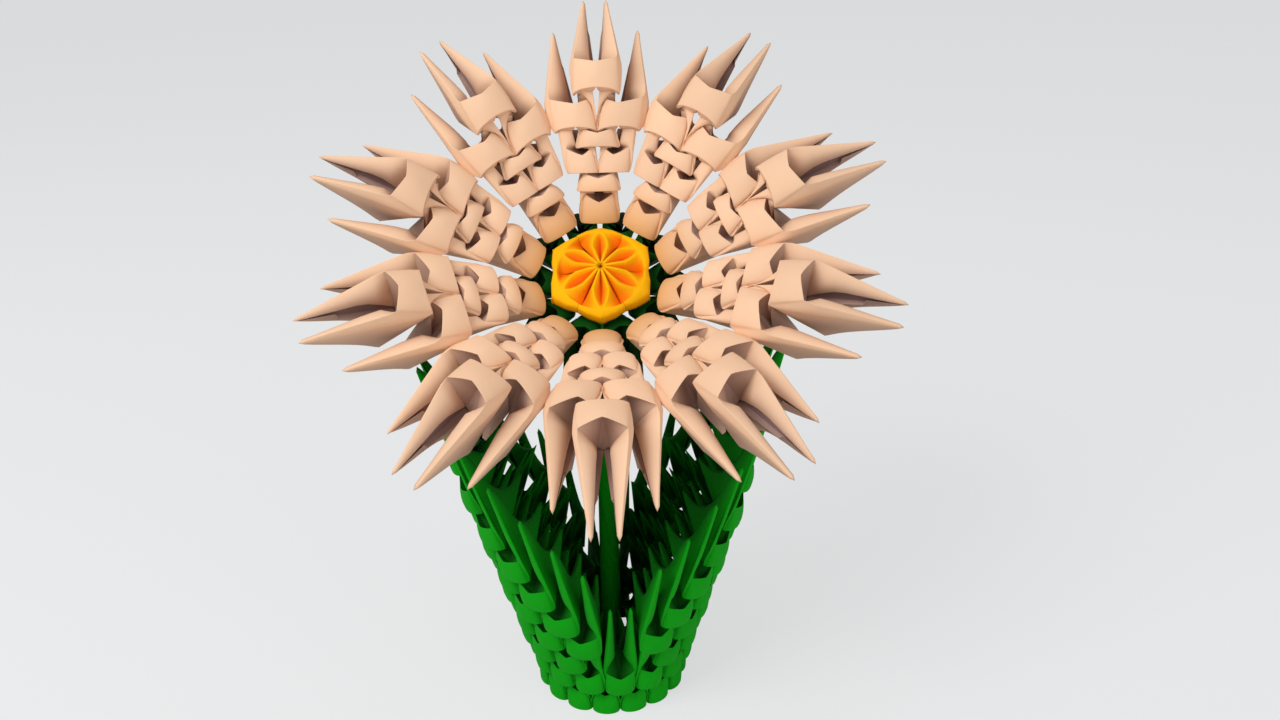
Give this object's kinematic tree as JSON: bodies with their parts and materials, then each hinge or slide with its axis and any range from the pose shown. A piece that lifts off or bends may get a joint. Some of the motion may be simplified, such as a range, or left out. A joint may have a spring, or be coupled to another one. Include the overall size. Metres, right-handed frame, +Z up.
{
  "type": "paper flower in a vase",
  "caption": "Folded-paper flower ornament: a white petalled head with a yellow centre, leaning on a stem over a green vase that opens into pointed leaves.",
  "frame": {"origin": "on the table, at the middle of the vase's lowest ring", "axes": "+Z up; the two leaves point to -X and +X; the flower head faces -Y"},
  "size_m": [0.1194, 0.0936, 0.1476],
  "materials": {
    "white_paper": "matt folded paper",
    "yellow_paper": "matt folded paper",
    "green_paper": "matt folded paper"
  },
  "bodies": {
    "root": {"petal_1_base": "white_paper", "petal_1_body": "white_paper", "petal_1_tip": "white_paper", "petal_2_base": "white_paper", "petal_2_body": "white_paper", "petal_2_tip": "white_paper", "petal_3_base": "white_paper", "petal_3_body": "white_paper", "petal_3_tip": "white_paper", "petal_4_base": "white_paper", "petal_4_body": "white_paper", "petal_4_tip": "white_paper", "petal_5_base": "white_paper", "petal_5_body": "white_paper", "petal_5_tip": "white_paper", "petal_6_base": "white_paper", "petal_6_body": "white_paper", "petal_6_tip": "white_paper", "petal_7_base": "white_paper", "petal_7_body": "white_paper", "petal_7_tip": "white_paper", "petal_8_base": "white_paper", "petal_8_body": "white_paper", "petal_8_tip": "white_paper", "petal_9_base": "white_paper", "petal_9_body": "white_paper", "petal_9_tip": "white_paper", "petal_10_base": "white_paper", "petal_10_body": "white_paper", "petal_10_tip": "white_paper", "calyx_ring": "green_paper", "stem": "green_paper", "centre_unit_1": "yellow_paper", "centre_unit_2": "yellow_paper", "centre_unit_3": "yellow_paper", "centre_unit_4": "yellow_paper", "centre_unit_5": "yellow_paper", "centre_unit_6": "yellow_paper", "vase_ring_1": "green_paper", "vase_ring_2": "green_paper", "left_leaf_row_1": "green_paper", "left_leaf_row_2": "green_paper", "left_leaf_row_3": "green_paper", "left_leaf_row_4": "green_paper", "left_leaf_row_5": "green_paper", "left_leaf_row_6": "green_paper", "left_leaf_row_7": "green_paper", "left_leaf_row_8": "green_paper", "right_leaf_row_1": "green_paper", "right_leaf_row_2": "green_paper", "right_leaf_row_3": "green_paper", "right_leaf_row_4": "green_paper", "right_leaf_row_5": "green_paper", "right_leaf_row_6": "green_paper", "right_leaf_row_7": "green_paper", "right_leaf_row_8": "green_paper"}
  },
  "joints": []
}
